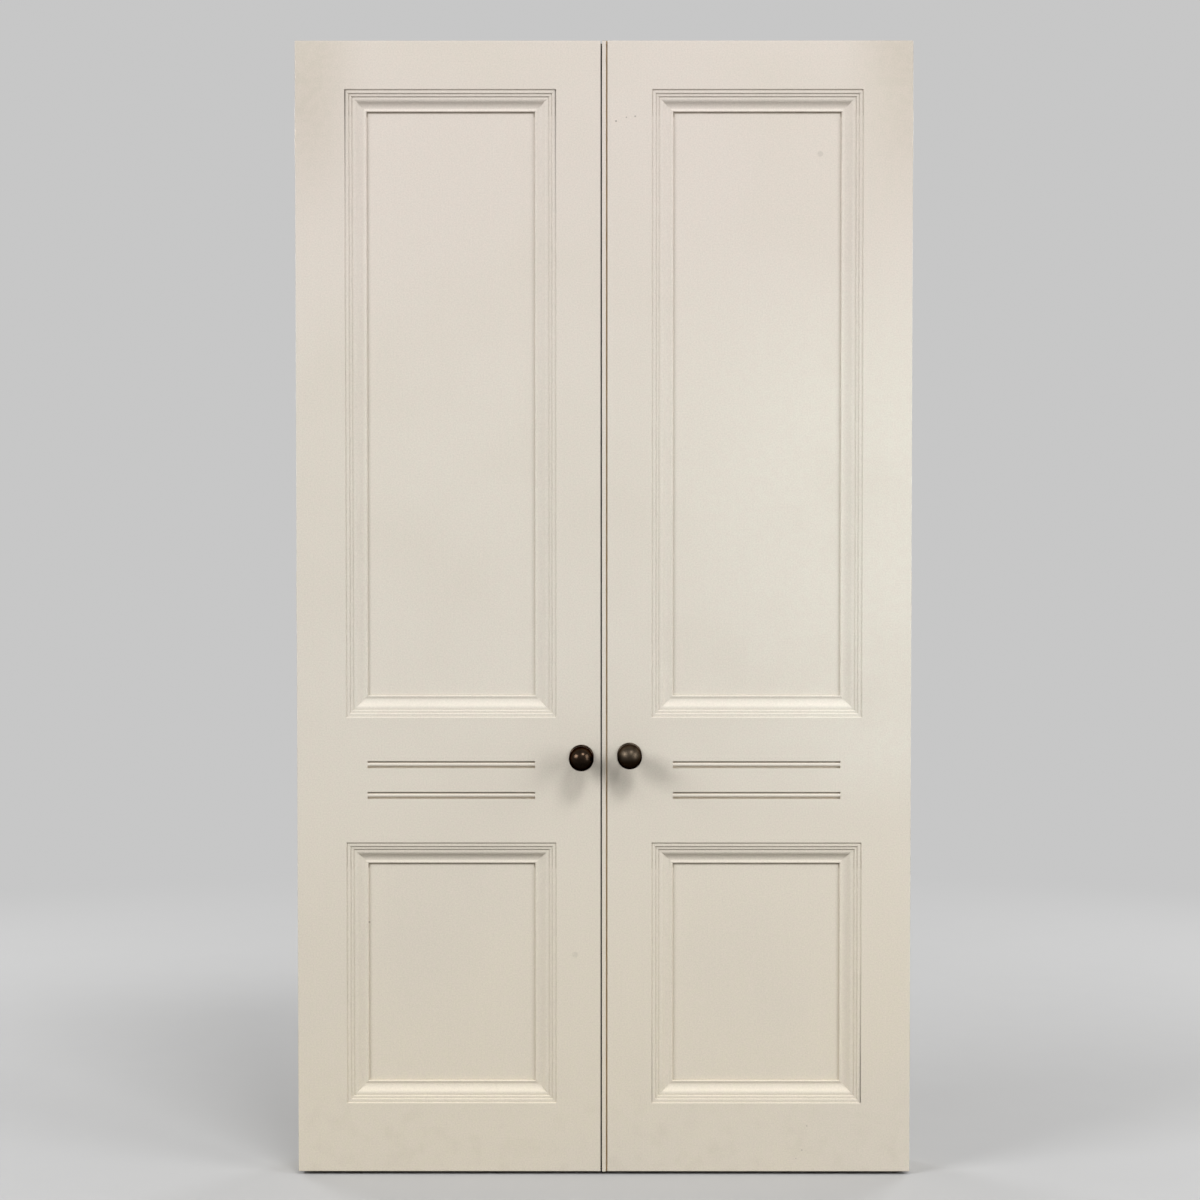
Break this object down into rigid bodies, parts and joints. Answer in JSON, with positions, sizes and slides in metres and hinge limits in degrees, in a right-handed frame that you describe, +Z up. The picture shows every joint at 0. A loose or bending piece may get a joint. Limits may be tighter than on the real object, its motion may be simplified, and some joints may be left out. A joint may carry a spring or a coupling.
{
  "type": "double doors",
  "caption": "Pair of panelled doors with planted mouldings, reeded lock rails and ball knobs, hung on butt hinges over a slim frame.",
  "frame": {"origin": "centre of the threshold's underside, at floor level", "axes": "+X to the right seen from the front, +Y from the front to the back, +Z up"},
  "size_m": [1.253, 0.205, 2.292],
  "materials": {
    "painted_wood": "satin cream paint",
    "left_bronze": "polished dark bronze",
    "right_bronze": "satin dark bronze",
    "hinge_brass": "aged brass",
    "brass_screws": "aged brass",
    "steel_screws": "plain steel",
    "strike_steel": "plain steel",
    "catch_plastic": "matt cream plastic",
    "seal_rubber": "dark rubber"
  },
  "bodies": {
    "frame": {"left_jamb": "painted_wood", "right_jamb": "painted_wood", "head": "painted_wood", "threshold": "painted_wood", "frame_screws": "steel_screws", "hinge_frame_screws": "brass_screws", "catch_screws": "steel_screws", "left_catch": "catch_plastic", "right_catch": "catch_plastic", "left_top_hinge_frame_plate": "hinge_brass", "left_top_hinge_pin": "hinge_brass", "left_middle_hinge_frame_plate": "hinge_brass", "left_middle_hinge_pin": "hinge_brass", "left_bottom_hinge_frame_plate": "hinge_brass", "left_bottom_hinge_pin": "hinge_brass", "right_top_hinge_frame_plate": "hinge_brass", "right_top_hinge_pin": "hinge_brass", "right_middle_hinge_frame_plate": "hinge_brass", "right_middle_hinge_pin": "hinge_brass", "right_bottom_hinge_frame_plate": "hinge_brass", "right_bottom_hinge_pin": "hinge_brass"},
    "left_leaf": {"left_hanging_stile": "painted_wood", "left_meeting_stile": "painted_wood", "left_top_rail": "painted_wood", "left_lock_rail": "painted_wood", "left_bottom_rail": "painted_wood", "left_upper_panel": "painted_wood", "left_lower_panel": "painted_wood", "left_upper_moulding": "painted_wood", "left_lower_moulding": "painted_wood", "left_reeds": "painted_wood", "left_gap_seal": "seal_rubber", "left_rose": "left_bronze", "left_knob": "left_bronze", "left_knob_bolt": "steel_screws", "left_strike": "strike_steel", "left_leaf_screws": "brass_screws", "left_top_hinge_leaf_plate": "hinge_brass", "left_middle_hinge_leaf_plate": "hinge_brass", "left_bottom_hinge_leaf_plate": "hinge_brass"},
    "right_leaf": {"right_hanging_stile": "painted_wood", "right_meeting_stile": "painted_wood", "right_top_rail": "painted_wood", "right_lock_rail": "painted_wood", "right_bottom_rail": "painted_wood", "right_upper_panel": "painted_wood", "right_lower_panel": "painted_wood", "right_upper_moulding": "painted_wood", "right_lower_moulding": "painted_wood", "right_reeds": "painted_wood", "right_meeting_bead": "painted_wood", "right_rose": "right_bronze", "right_knob": "right_bronze", "right_knob_bolt": "steel_screws", "right_strike": "strike_steel", "right_leaf_screws": "brass_screws", "right_top_hinge_leaf_plate": "hinge_brass", "right_middle_hinge_leaf_plate": "hinge_brass", "right_bottom_hinge_leaf_plate": "hinge_brass"}
  },
  "joints": [
    {"name": "left_leaf_swing", "type": "hinge", "parent": "frame", "child": "left_leaf", "pos_m": [-0.621, -0.046, 0], "axis": [0, 0, -1], "range_deg": [0, 90]},
    {"name": "right_leaf_swing", "type": "hinge", "parent": "frame", "child": "right_leaf", "pos_m": [0.621, -0.046, 0], "axis": [0, 0, 1], "range_deg": [0, 90]}
  ]
}
